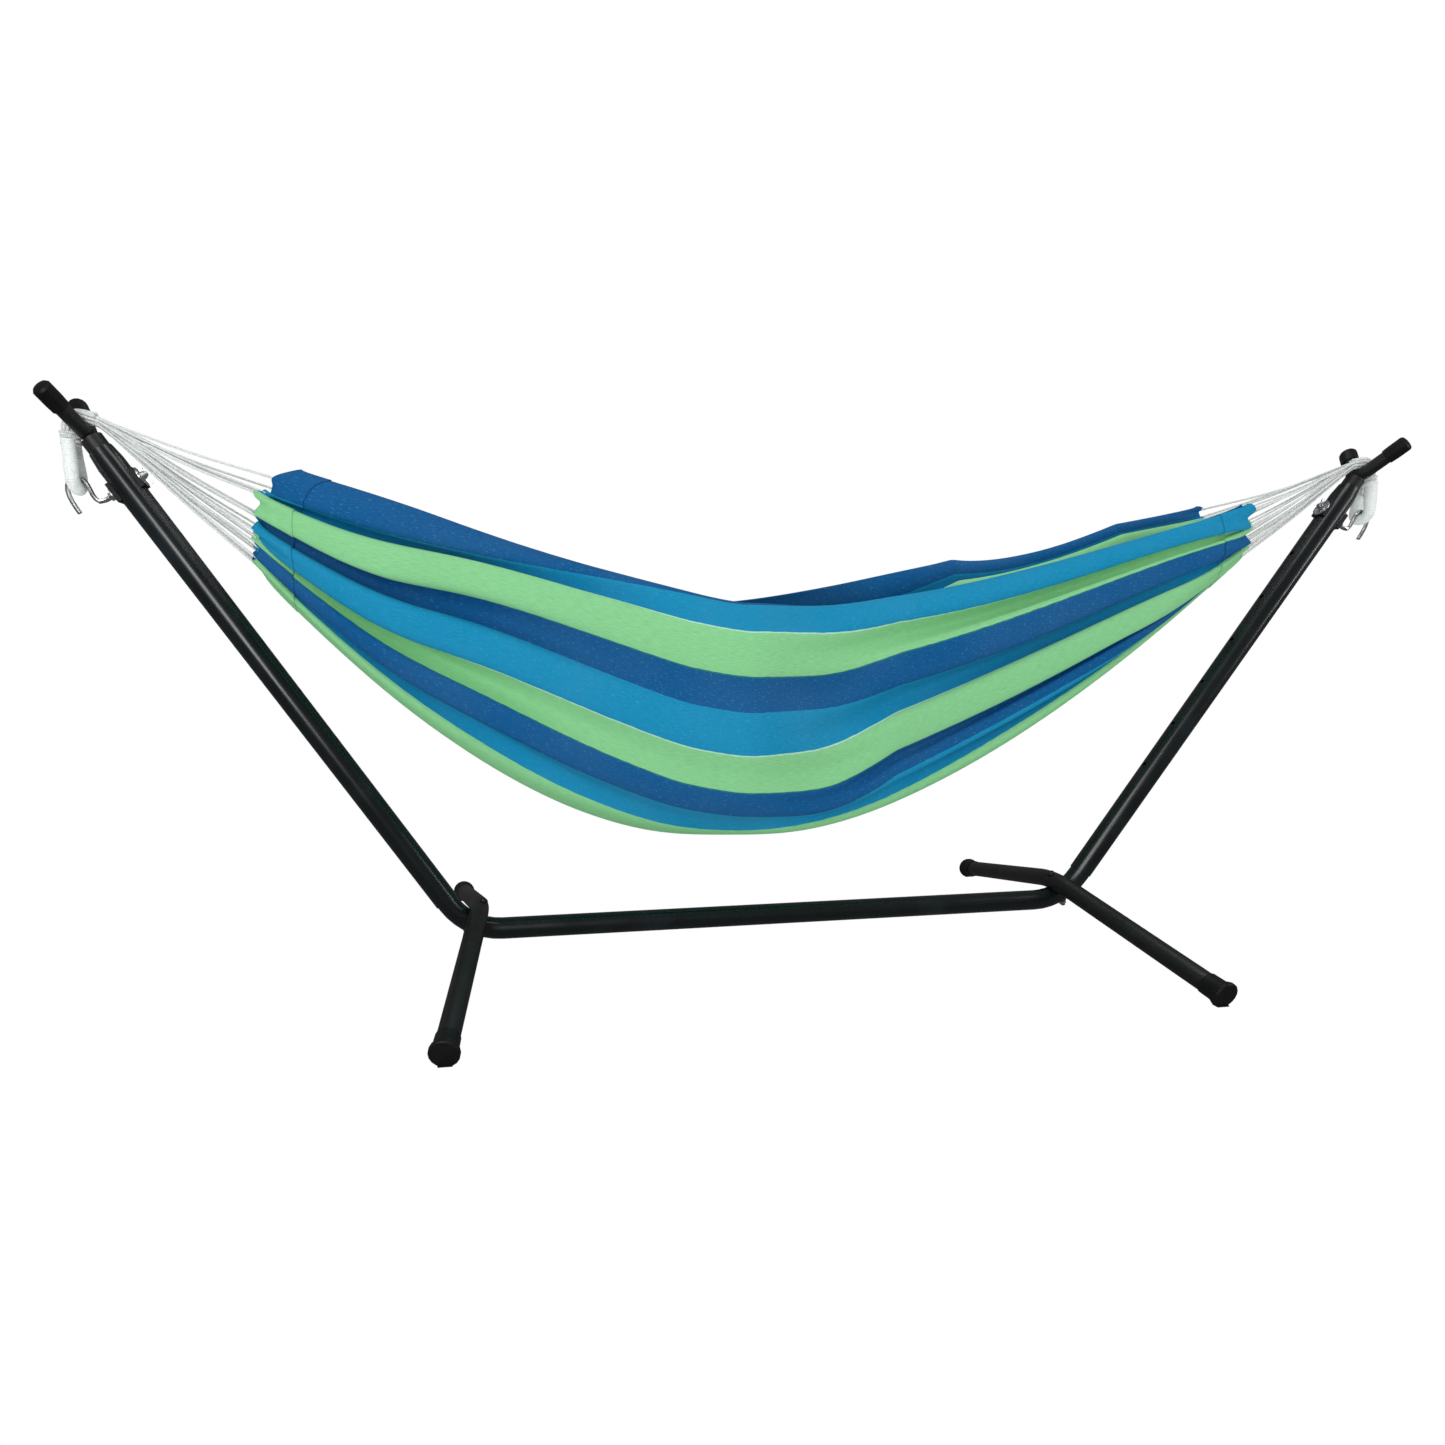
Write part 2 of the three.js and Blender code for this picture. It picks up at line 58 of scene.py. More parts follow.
STRIPES = "DMGDMGDMGDGMDGMDGMD"     # dark blue, mid blue and green, from the front edge
STRIPE_WIDTHS = {"D": 0.068, "M": 0.078, "G": 0.080}
CLOTH_WIDTH = sum(STRIPE_WIDTHS[kind] for kind in STRIPES)
CLOTH_LENGTH = 2.25
CLOTH_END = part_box("right_hem")[1][0]
HEM_DEPTH = 0.07
ROWS = 300
COLUMNS = 19 * 16

CORDS_PER_END = 24
CORD_RADIUS = 0.0021
PIVOT_X = 1.268                    # where the free cords meet the bundle over the fork

ABOVE_CAD_BED = 0.005              # the cloth's lowest line, above the lowest point of the CAD bed
# The cloth hangs lowest a little left of its middle. Each of these holds the left end's value,
# the lowest place's, the right end's, and the powers of the curves that lead to each end, where
# 1 is straight and 2 a parabola.
LOWEST_X = -0.15
ROUNDING = 0.15                    # how widely the curves to both ends are rounded into each other
BOTTOM = (0.80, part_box("hammock_bed")[0][2] + ABOVE_CAD_BED, 0.84, 1.7, 1.5)
FRONT_EDGE = (0.945, 0.715, 0.94, 0.85, 1.8)
BACK_EDGE = (0.96, 0.745, 0.955, 0.9, 1.0)
HALF_OUTLINE = (0.21, 0.70, 0.20, 1.8, 0.9)     # from the lowest line to one edge, pleats flattened
# How far the front's top edge leans in, in degrees past upright.
FRONT_CURL = (30, 128, 25, 1.2, 9.0)
# The section is a sharp keel at the left end and a round trough at the right.
LEFT_KEEL = 0.7
RIGHT_KEEL = 1.65
KEEL_FROM = -0.45
KEEL_TO = 0.15
# How far the back's top edge leans in. Below 0 it turns outwards.
BACK_CURL = [
    (-1.04, 0), (-0.60, 20), (-0.10, 40), (0.20, -10), (0.42, -115), (0.60, -140),
    (0.80, -125), (1.04, -90),
]
# The cords pull the right end narrower than the pleats alone would make it.
SQUEEZE = [(-1.04, 1.0), (0.30, 1.0), (0.50, 0.95), (0.80, 0.79), (1.04, 0.62)]
# Where the cloth really ends, for its front edge, lowest line and back edge.
LEFT_END = [(0.0, 0.930), (0.015, 0.958), (0.04, 0.980), (0.12, 1.002), (0.5, 1.038), (1.0, 1.000)]
RIGHT_END = [(0.0, 0.945), (0.08, 0.962), (0.5, 1.010), (0.8, 0.985), (1.0, 0.975)]

# Flanks of the gathered pleats, as shares of the cloth's width in from an edge. Broad lobes and
# narrow folds alternate, and the cloth's middle line is in a fold. The lobes stand outwards,
# except on the right end's back half, where they face inwards.
LEFT_FLANKS = [-0.008, 0.050, 0.1005, 0.158, 0.208, 0.262, 0.316, 0.3655, 0.42, 0.474]
RIGHT_FRONT_FLANKS = [
    -0.06, 0.0, 0.046, 0.104, 0.145, 0.210, 0.262, 0.325, 0.345, 0.375, 0.42, 0.474,
]
RIGHT_BACK_FLANKS = [
    -0.10, 0.055, 0.095, 0.165, 0.205, 0.222, 0.258, 0.322, 0.35, 0.40, 0.45,
]
FLANK_ANGLE = math.radians(104)
MOST_GATHER = 1.03                 # beyond this the pleats would run into each other and bunch up
GATHER_SEARCH_LIMIT = 1.35
EASES_FROM = 0.8
PLEAT_BLEND = 0.2                  # either side of the middle, where the two ends' pleats fade over
# The second stripe stays tucked away further in than the other pleats at the left end.
TUCK_PLACE = 0.076
TUCK = [(-1.04, 1.1), (-0.85, 1.1), (-0.65, 1.1), (-0.40, 0.62), (-0.20, 0.0), (1.04, 0.0)]

# Linear colours of the three stripe kinds and of the thin pale and dark teal lines painted along the two
# edges of each green stripe.
DARK_BLUE = (0.004, 0.092, 0.270, 1)
MID_BLUE = (0.006, 0.245, 0.455, 1)
GREEN = (0.236, 0.592, 0.268, 1)
PALE_LINE = (0.42, 0.72, 0.55, 1)
TEAL_LINE = (0.015, 0.17, 0.19, 1)


def curve(points, x):
    """A smooth line through (place, value) points, read at x."""
    places = np.array([p[0] for p in points])
    values = np.array([p[1] for p in points], float)
    slopes = np.gradient(values, places)
    index = int(np.clip(np.searchsorted(places, x) - 1, 0, len(places) - 2))
    span = places[index + 1] - places[index]
    t = float(np.clip((x - places[index]) / span, 0, 1))
    rise, run = 3 * t**2 - 2 * t**3, t - 2 * t**2 + t**3
    return float(
        values[index] * (1 - rise)
        + values[index + 1] * rise
        + span * (slopes[index] * run + slopes[index + 1] * (t**3 - t**2))
    )


def sag(values, x):
    """A value that changes from the cloth's lowest place towards both its ends, read at x."""
    left, lowest, right, left_power, right_power = values
    if x < LOWEST_X:
        value, end_x, power = left, -CLOTH_END, left_power
    else:
        value, end_x, power = right, CLOTH_END, right_power
    share = (x - LOWEST_X) / (end_x - LOWEST_X)
    reach = (math.hypot(share, ROUNDING) - ROUNDING) / (math.hypot(1, ROUNDING) - ROUNDING)
    return lowest + (value - lowest) * reach**power


def keel(x):
    """How quickly the section turns up from its lowest line; lower is a sharper keel."""
    t = float(np.clip((x - KEEL_FROM) / (KEEL_TO - KEEL_FROM), 0, 1))
    return LEFT_KEEL + (RIGHT_KEEL - LEFT_KEEL) * (3 * t**2 - 2 * t**3)


# ------------------------------------------------------------------ camera, light and floor


def add_camera():
    """The viewing place: low in front, left of the middle, looking slightly down and right."""
    turn, tilt = math.radians(9.82), math.radians(14.84)
    forward = Vector((math.sin(turn) * math.cos(tilt), math.cos(turn) * math.cos(tilt), -math.sin(tilt)))
    right = Vector((math.cos(turn), -math.sin(turn), 0))
    rows = Matrix((right, right.cross(forward), -forward)).transposed()
    data = bpy.data.cameras.new("camera")
    data.sensor_width = 36
    data.lens = 22.51
    data.shift_x = 0.0448
    data.shift_y = 0.1039
    camera = bpy.data.objects.new("camera", data)
    camera.matrix_world = Matrix.Translation((-0.602, -1.8556, 0.679)) @ rows.to_4x4()
    bpy.context.scene.collection.objects.link(camera)
    bpy.context.scene.camera = camera


def add_area_light(name, place, target, size, power):
    data = bpy.data.lights.new(name, "AREA")
    data.shape = "RECTANGLE"
    data.size, data.size_y = size
    data.energy = power
    light = bpy.data.objects.new(name, data)
    light.location = place
    light.rotation_euler = (Vector(target) - Vector(place)).to_track_quat("-Z", "Y").to_euler()
    bpy.context.scene.collection.objects.link(light)


def choose_by_ray(tree, shade, white, black, output):
    """The camera sees white, reflections see black flags, and all other rays see the shaded one."""
    ray = tree.nodes.new("ShaderNodeLightPath")
    shader = shade.outputs[0]
    for kind, other in (("Is Glossy Ray", black), ("Is Camera Ray", white)):
        choose = tree.nodes.new("ShaderNodeMixShader")
        tree.links.new(ray.outputs[kind], choose.inputs[0])
        tree.links.new(shader, choose.inputs[1])
        tree.links.new(other.outputs[0], choose.inputs[2])
        shader = choose.outputs[0]
    tree.links.new(shader, output.inputs["Surface"])


def add_studio():
    world = bpy.data.worlds.new("studio")
    bpy.context.scene.world = world
    world.use_nodes = True
    tree = world.node_tree
    dim = tree.nodes["Background"]
    dim.inputs["Color"].default_value = (1, 1, 1, 1)
    dim.inputs["Strength"].default_value = 0.42
    white = tree.nodes.new("ShaderNodeBackground")
    white.inputs["Strength"].default_value = 1.0
    white.inputs["Color"].default_value = (1, 1, 1, 1)
    black = tree.nodes.new("ShaderNodeBackground")
    black.inputs["Strength"].default_value = 0.15
    black.inputs["Color"].default_value = (1, 1, 1, 1)
    choose_by_ray(tree, dim, white, black, tree.nodes["World Output"])
    add_area_light("key", (-2.6, -3.2, 3.4), (0, 0, 0.5), (1.6, 1.6), 46)
    add_area_light("top", (0.4, 0.0, 3.6), (0, 0, 0.4), (3.0, 1.0), 34)
    add_area_light("front", (-1.6, -3.6, 1.5), (-0.2, 0, 0.5), (1.0, 1.8), 48)
    add_area_light("rim", (3.2, -1.6, 1.8), (0.9, 0, 0.6), (0.3, 2.4), 20)

    bpy.ops.mesh.primitive_plane_add(size=60, location=(0, 0, -0.0005))
    floor = bpy.context.object
    floor.name = "floor"
    paint = plain_material("floor_white", (0.85, 0.85, 0.85, 1), 1.0)
    tree = paint.node_tree
    shade = tree.nodes["Principled BSDF"]
    shade.inputs["Emission Color"].default_value = (1, 1, 1, 1)
    shade.inputs["Emission Strength"].default_value = 0.15
    glow = tree.nodes.new("ShaderNodeEmission")
    black = tree.nodes.new("ShaderNodeEmission")
    black.inputs["Strength"].default_value = 0.1
    choose_by_ray(tree, shade, glow, black, tree.nodes["Material Output"])
    floor.data.materials.append(paint)
    bpy.context.scene.view_settings.view_transform = "Standard"


# ------------------------------------------------------------------ materials


class Nodes:
    """Short calls for building one material's node tree."""

    def __init__(self, name):
        self.material = bpy.data.materials.new(name)
        self.material.use_nodes = True
        self.tree = self.material.node_tree
        self.shader = self.tree.nodes["Principled BSDF"]

    def add(self, kind, settings=None, **inputs):
        node = self.tree.nodes.new(kind)
        for key, value in (settings or {}).items():
            setattr(node, key, value)
        for key, value in inputs.items():
            self.set(node, key.replace("_", " "), value)
        return node

    def set(self, node, socket, value):
        target = node.inputs[int(socket)] if socket.isdigit() else node.inputs[socket]
        if isinstance(value, bpy.types.NodeSocket):
            self.tree.links.new(value, target)
        else:
            target.default_value = value

    def coordinates(self, kind, scale):
        source = self.add("ShaderNodeTexCoord").outputs[kind]
        return self.add("ShaderNodeMapping", Vector=source, Scale=scale).outputs["Vector"]

    def math(self, operation, first, second=0.0, third=0.0):
        node = self.add("ShaderNodeMath", {"operation": operation})
        for index, value in enumerate((first, second, third)):
            self.set(node, str(index), value)
        return node.outputs[0]

    def noise(self, vector, scale, detail=3.0):
        return self.add("ShaderNodeTexNoise", Vector=vector, Scale=scale, Detail=detail).outputs["Fac"]

    def ramp(self, factor, stops, interpolation="LINEAR"):
        node = self.add("ShaderNodeValToRGB", Fac=factor)
        node.color_ramp.interpolation = interpolation
        while len(node.color_ramp.elements) < len(stops):
            node.color_ramp.elements.new(1.0)
        for element, (place, colour) in zip(node.color_ramp.elements, stops):
            element.position = place
            element.color = colour if hasattr(colour, "__len__") else (colour, colour, colour, 1)
        return node.outputs["Color"]

    def mix(self, factor, first, second, blend="MIX"):
        node = self.add("ShaderNodeMix", {"data_type": "RGBA", "blend_type": blend})
        for index, value in ((0, factor), (6, first), (7, second)):
            self.set(node, str(index), value)
        return node.outputs[2]

    def bump(self, height, distance, strength=1.0):
        bump = self.add("ShaderNodeBump", Height=height, Distance=distance, Strength=strength)
        self.set(self.shader, "Normal", bump.outputs["Normal"])


def plain_material(name, colour, roughness):
    nodes = Nodes(name)
    nodes.set(nodes.shader, "Base Color", colour)
    nodes.set(nodes.shader, "Roughness", roughness)
    return nodes.material


def painted_steel(name, colour, roughness, orange_peel):
    """Powder coat: a fine pebbled skin, slightly uneven gloss and faint dusty scuffs."""
    nodes = Nodes(name)
    place = nodes.coordinates("Object", (1, 1, 1))
    scuff = nodes.ramp(nodes.noise(place, 9, 6), [(0.52, 0.0), (0.78, 1.0)])
    scuffed = tuple(c * 2.4 for c in colour[:3]) + (1,)
    nodes.set(nodes.shader, "Base Color", nodes.mix(scuff, colour, scuffed))
    low, high = roughness
    nodes.set(nodes.shader, "Roughness", nodes.ramp(nodes.noise(place, 14), [(0.3, low), (0.7, high)]))
    nodes.set(nodes.shader, "Specular IOR Level", 0.55)
    nodes.bump(nodes.noise(place, 700, 2), 0.0002, orange_peel)
    return nodes.material


def moulded_plastic():
    nodes = Nodes("moulded_plastic")
    place = nodes.coordinates("Object", (1, 1, 1))
    nodes.set(nodes.shader, "Base Color", nodes.ramp(
        nodes.noise(place, 30), [(0.3, (0.003, 0.003, 0.0035, 1)), (0.8, (0.007, 0.007, 0.0075, 1))]))
    nodes.set(nodes.shader, "Roughness", 0.48)
    nodes.set(nodes.shader, "Specular IOR Level", 0.25)
    nodes.bump(nodes.noise(place, 1100, 2), 0.0002, 0.35)
    return nodes.material


def zinc_plate():
    nodes = Nodes("zinc_plate")
    place = nodes.coordinates("Object", (1, 1, 1))
    nodes.set(nodes.shader, "Base Color", nodes.ramp(
        nodes.noise(place, 60, 5), [(0.3, (0.50, 0.53, 0.55, 1)), (0.7, (0.80, 0.82, 0.83, 1))]))
    nodes.set(nodes.shader, "Metallic", 1.0)
    nodes.set(nodes.shader, "Roughness", nodes.ramp(nodes.noise(place, 90), [(0.3, 0.2), (0.7, 0.42)]))
    nodes.bump(nodes.noise(place, 400, 3), 0.0002, 0.2)
    return nodes.material


def cotton_cord(name, twists_per_metre):
    """Twisted off-white yarn, darker in the grooves between its strands as painted shade; U runs round the
    cord and V along it, in metres.
    """
    nodes = Nodes(name)
    place = nodes.coordinates("UV", (1, 1, 1))
    parts = nodes.add("ShaderNodeSeparateXYZ", Vector=place)
    turn = nodes.math("MULTIPLY_ADD", parts.outputs["Y"], twists_per_metre, parts.outputs["X"])
    strand_relief_and_shade = nodes.math("SINE", nodes.math("MULTIPLY", turn, 6 * math.pi))
    fluff = nodes.noise(nodes.coordinates("Object", (1, 1, 1)), 420, 3)
    # The colour is painted shade in the grooves between the strands, over a random fluffy tone; the same
    # pattern also drives the real bump.
    shade = nodes.math("MULTIPLY_ADD", strand_relief_and_shade, 0.12, fluff)
    nodes.set(nodes.shader, "Base Color", nodes.ramp(
        shade, [(0.25, (0.50, 0.54, 0.53, 1)), (0.65, (0.84, 0.87, 0.85, 1))]))
    nodes.set(nodes.shader, "Roughness", 0.85)
    nodes.set(nodes.shader, "Sheen Weight", 0.25)
    nodes.bump(nodes.math("MULTIPLY_ADD", strand_relief_and_shade, 0.5, fluff), 0.0007, 0.7)
    return nodes.material


def whipping_cord():
    """Fine turns of cord bound tightly round a rope, darker between the turns as painted shade; V runs
    along the rope, in metres.
    """
    nodes = Nodes("whipping_cord")
    parts = nodes.add("ShaderNodeSeparateXYZ", Vector=nodes.coordinates("UV", (1, 1, 1)))
    turn = nodes.math("MULTIPLY_ADD", parts.outputs["Y"], 420.0, parts.outputs["X"])
    ridge_relief_and_shade = nodes.math("SINE", nodes.math("MULTIPLY", turn, 2 * math.pi))
    fluff = nodes.noise(nodes.coordinates("Object", (1, 1, 1)), 260, 4)
    # The colour is painted shade in the grooves between the turns, over a random fluffy tone; the same
    # pattern also drives the real bump.
    shade = nodes.math("MULTIPLY_ADD", ridge_relief_and_shade, 0.09, fluff)
    nodes.set(nodes.shader, "Base Color", nodes.ramp(
        shade, [(0.22, (0.66, 0.72, 0.70, 1)), (0.60, (0.86, 0.90, 0.88, 1))]))
    nodes.set(nodes.shader, "Roughness", 0.8)
    nodes.set(nodes.shader, "Sheen Weight", 0.2)
    nodes.bump(nodes.math("MULTIPLY_ADD", ridge_relief_and_shade, 0.5, nodes.math("MULTIPLY", fluff, 0.3)), 0.0004, 0.5)
    return nodes.material


def stripe_stops():
    """Colour stops from the cloth's middle line (0) to its edge (1)."""
    colours = {"D": DARK_BLUE, "M": MID_BLUE, "G": GREEN}
    half = CLOTH_WIDTH / 2
    line = 0.0022
    stops = [(0.0, DARK_BLUE)]
    start = STRIPE_WIDTHS["D"] / 2
    for kind in STRIPES[len(STRIPES) // 2 + 1:]:
        if kind == "G":
            stops.append(((start - line) / half, TEAL_LINE))
        stops.append((start / half, colours[kind]))
        start += STRIPE_WIDTHS[kind]
        if kind == "G":
            stops.append(((start - line) / half, PALE_LINE))
    return stops


def striped_cloth():
    """Woven cotton; U runs across the cloth and V along it, both in metres."""
    nodes = Nodes("striped_cloth")
    uv = nodes.coordinates("UV", (1, 1, 1))
    streak = nodes.coordinates("UV", (1, 0.06, 1))
    wander = nodes.math("MULTIPLY", nodes.math("SUBTRACT", nodes.noise(uv, 45, 2), 0.5), 0.0025)
    across = nodes.math("ADD", nodes.add("ShaderNodeSeparateXYZ", Vector=uv).outputs["X"], wander)
    from_middle = nodes.math("ABSOLUTE", nodes.math("SUBTRACT", across, CLOTH_WIDTH / 2))
    colour = nodes.ramp(nodes.math("DIVIDE", from_middle, CLOTH_WIDTH / 2), stripe_stops(), "CONSTANT")

    yarns = nodes.ramp(nodes.noise(streak, 900, 3), [(0.36, 0.72), (0.62, 1.0)])
    colour = nodes.mix(0.55, colour, yarns, "MULTIPLY")
    slub_noise = nodes.noise(nodes.coordinates("UV", (1, 0.25, 1)), 420, 2)
    slub = nodes.ramp(slub_noise, [(0.60, 0.0), (0.74, 1.0)])
    colour = nodes.mix(nodes.math("MULTIPLY", slub, 0.35), colour, (0.10, 0.40, 0.36, 1))
    faded = nodes.ramp(nodes.noise(uv, 5, 3), [(0.35, 0.0), (0.75, 0.02)])
    colour = nodes.mix(faded, colour, (0.55, 0.68, 0.72, 1))
    nodes.set(nodes.shader, "Base Color", colour)
    nodes.set(nodes.shader, "Roughness", 0.82)
    nodes.set(nodes.shader, "Specular IOR Level", 0.08)

    parts = nodes.add("ShaderNodeSeparateXYZ", Vector=uv)
    warp = nodes.math("SINE", nodes.math("MULTIPLY", parts.outputs["X"], 2 * math.pi / 0.0028))
    weft = nodes.math("SINE", nodes.math("MULTIPLY", parts.outputs["Y"], 2 * math.pi / 0.0028))
    weave = nodes.math("MULTIPLY", warp, weft)
    height = nodes.math("MULTIPLY_ADD", weave, 0.35, nodes.noise(streak, 500, 2))
    nodes.bump(height, 0.0006, 0.5)
    return nodes.material


# ------------------------------------------------------------------ mesh helpers


def make_mesh(name, vertices, faces, uvs, material, smooth=True):
    """A mesh object; uvs holds one (u, v) for every corner of every face, in order."""
    mesh = bpy.data.meshes.new(name)
    mesh.from_pydata([tuple(v) for v in vertices], [], faces)
    layer = mesh.uv_layers.new(name="UVMap")
    layer.data.foreach_set("uv", np.array(uvs, np.float32).ravel())
    mesh.polygons.foreach_set("use_smooth", [smooth] * len(mesh.polygons))
    mesh.materials.append(material)
    obj = bpy.data.objects.new(name, mesh)
    bpy.context.scene.collection.objects.link(obj)
    return obj


class TubeSet:
    """Closed tubes along paths, gathered into one mesh."""

    def __init__(self, sides):
        self.sides = sides
        self.vertices, self.faces, self.uvs = [], [], []

    def add(self, path, radius, v_start=0.0):
        """radius is a number or one number for each point of path."""
        path = np.asarray(path, float)
        radii = np.broadcast_to(radius, (len(path),))
        tangents = np.gradient(path, axis=0)
        tangents /= np.linalg.norm(tangents, axis=1)[:, None]
        side = np.cross(tangents[0], (0.13, 0.97, 0.21))
        first = len(self.vertices)
        angles = np.arange(self.sides) * 2 * math.pi / self.sides
        lengths = v_start + np.concatenate([[0], np.cumsum(np.linalg.norm(np.diff(path, axis=0), axis=1))])
        for point, tangent, r in zip(path, tangents, radii):
            side = side - tangent * (side @ tangent)
            side /= np.linalg.norm(side)
            other = np.cross(tangent, side)
            for angle in angles:
                self.vertices.append(point + r * (math.cos(angle) * side + math.sin(angle) * other))
        n = self.sides
        for i in range(len(path) - 1):
            for j in range(n):
                k = (j + 1) % n
                a = first + i * n
                self.faces.append((a + j, a + k, a + n + k, a + n + j))
                u0, u1 = j / n, (j + 1) / n
                v0, v1 = lengths[i], lengths[i + 1]
                self.uvs += [(u0, v0), (u1, v0), (u1, v1), (u0, v1)]
        last = first + (len(path) - 1) * n
        self.faces.append(tuple(first + j for j in reversed(range(n))))
        self.faces.append(tuple(last + j for j in range(n)))
        self.uvs += [(0, 0)] * (2 * n)

    def make(self, name, material, body):
        obj = make_mesh(name, self.vertices, self.faces, self.uvs, material)
        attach(obj, body)
        return obj


def smooth_path(points, count):
    """count places on a smooth line through the points, evenly numbered between them."""
    points = np.asarray(points, float)
    numbers = list(range(len(points)))
    steps = np.linspace(0, len(points) - 1, count)
    columns = [[curve(list(zip(numbers, points[:, axis])), s) for s in steps] for axis in range(3)]
    return np.array(columns).T


# ------------------------------------------------------------------ cloth


def outline(length, depth, curl, sharpness, count):
    """Half a cross-section's (y, z) points, from the lowest line out and up."""
    share = np.linspace(0, 1, count)
    lean = math.radians(curl) * np.clip((share - 0.72) / 0.28, 0, 1) ** 1.3

    def angles(turn_end):
        return np.minimum(share / turn_end, 1.0) ** sharpness * math.pi / 2 + lean

    low, high = 0.02, 2.5
    for _ in range(40):
        middle = (low + high) / 2
        if np.mean(np.sin(angles(middle))) * length > depth:
            low = middle
        else:
            high = middle
    angle = angles(low)
    step = length / (count - 1)
    y = np.concatenate([[0], np.cumsum((np.cos(angle[1:]) + np.cos(angle[:-1])) / 2 * step)])
    z = np.concatenate([[0], np.cumsum((np.sin(angle[1:]) + np.sin(angle[:-1])) / 2 * step)])
    return y, z


def pleat_angles(flanks):
    """The slope of half the gathered cloth, from its edge to its middle line."""
    flanks = flanks + [1 - flanks[-1]]
    across = (np.arange(COLUMNS // 2) + 0.5) / COLUMNS
    angles = np.zeros(COLUMNS // 2)
    for index, (start, end) in enumerate(zip(flanks, flanks[1:])):
        inside = (across >= start) & (across < end)
        t = 1 - 2 * (across[inside] - start) / (end - start)
        is_lobe = index % 2 == 0
        flatness = 2.6 if is_lobe else 0.55
        sign = 1 if is_lobe else -1
        angles[inside] = sign * FLANK_ANGLE * np.sign(t) * np.abs(t) ** flatness
    return angles


LEFT_PLEATS = np.concatenate([pleat_angles(LEFT_FLANKS), -pleat_angles(LEFT_FLANKS)[::-1]])
RIGHT_PLEATS = np.concatenate([pleat_angles(RIGHT_FRONT_FLANKS), pleat_angles(RIGHT_BACK_FLANKS)[::-1]])


def gather_strength(angles, share):
    """The scale on the angles that makes the pleated cloth's outline that share of its flat width."""
    low, high = 0.0, GATHER_SEARCH_LIMIT
    for _ in range(30):
        middle = (low + high) / 2
        if np.mean(np.cos(angles * middle)) > share:
            low = middle
        else:
            high = middle
    if low < EASES_FROM:
        return low
    room = MOST_GATHER - EASES_FROM
    return EASES_FROM + room * math.tanh((low - EASES_FROM) / room)


def ripple(across, x):
    """Soft creases that run along the cloth and small puckers at its ends, in metres outwards."""
    waves = (
        (31, 1.1, 0.4, 0.0011), (47, -2.3, 1.9, 0.0008), (22, 3.0, 4.4, 0.0014),
        (68, 1.7, 2.2, 0.0004), (12, -3.1, 5.1, 0.0018),
    )
    total = 0
    for count, slant, phase, height in waves:
        swell = 0.6 + 0.4 * np.sin(2.1 * x + phase)
        total = total + height * swell * np.sin(count * across + slant * x + phase)
    near_end = np.clip((abs(x) - CLOTH_END + 0.16) / 0.16, 0, 1) ** 2
    pucker = np.sin(2 * math.pi * CORDS_PER_END * across + 0.8 * np.sin(9 * across + 3 * x))
    inside = np.clip(np.minimum(across, 1 - across) / 0.05, 0, 1)
    return total + 0.0055 * near_end * inside * pucker


def cloth_row(x):
    """Points across the cloth at station x, from the front edge to the back, and their normals."""
    bottom = sag(BOTTOM, x)
    half = sag(HALF_OUTLINE, x)
    across = np.linspace(0, 1, COLUMNS + 1)
    right_share = np.clip((x + PLEAT_BLEND) / (2 * PLEAT_BLEND), 0, 1)
    pleats = LEFT_PLEATS * (1 - right_share) + RIGHT_PLEATS * right_share
    share = min(half / (CLOTH_WIDTH / 2), 0.9999)
    halves = np.split(pleats, 2)
    strength = np.repeat([gather_strength(part, share) for part in halves], COLUMNS // 2)
    centres = (np.arange(COLUMNS) + 0.5) / COLUMNS
    tucked = sum(np.clip(1.5 - np.abs(place - TUCK_PLACE) / 0.04, 0, 1) for place in (centres, 1 - centres))
    angles = pleats * (strength + (np.maximum(curve(TUCK, x), strength) - strength) * tucked)
    reached = [np.mean(np.cos(part)) for part in np.split(pleats * strength, 2)]
    bunching = np.repeat([min(1.0, share / part) for part in reached], COLUMNS // 2)
    step = CLOTH_WIDTH / COLUMNS * bunching
    along = np.concatenate([[0], np.cumsum(np.cos(angles) * step)])
    out = np.concatenate([[0], np.cumsum(np.sin(angles) * step)])
    out[COLUMNS // 2:] -= out[-1] * np.linspace(0, 1, COLUMNS // 2 + 1)
    middle = along[COLUMNS // 2]

    count = 160
    places = np.arange(count)
    points = np.zeros((COLUMNS + 1, 3))
    sides = (
        (-1, sag(FRONT_EDGE, x), sag(FRONT_CURL, x)),
        (1, sag(BACK_EDGE, x), curve(BACK_CURL, x)),
    )
    for side, edge, curl in sides:
        length = middle if side < 0 else along[-1] - middle
        y, z = outline(length, edge - bottom, curl, keel(x), count)
        chosen = across <= 0.5 if side < 0 else across > 0.5
        reach = np.clip(np.abs(along[chosen] - middle) / length, 0, 1) * (count - 1)
        face_y = np.interp(reach, places, np.gradient(z) / (length / (count - 1)))
        face_z = np.interp(reach, places, -np.gradient(y) / (length / (count - 1)))
        points[chosen, 1] = side * (np.interp(reach, places, y) + out[chosen] * face_y)
        points[chosen, 2] = bottom + np.interp(reach, places, z) + out[chosen] * face_z
    points[:, 1] *= curve(SQUEEZE, x)
    ends = LEFT_END if x < 0 else RIGHT_END
    real_end = np.interp(across, [place for place, _ in ends], [end for _, end in ends])
    points[:, 0] = x * real_end / CLOTH_END
    slope = np.gradient(points, axis=0)
    normals = np.stack([np.zeros(COLUMNS + 1), slope[:, 2], -slope[:, 1]], axis=1)
    normals /= np.linalg.norm(normals, axis=1)[:, None] + 1e-9
    return points + normals * ripple(across, x)[:, None], normals


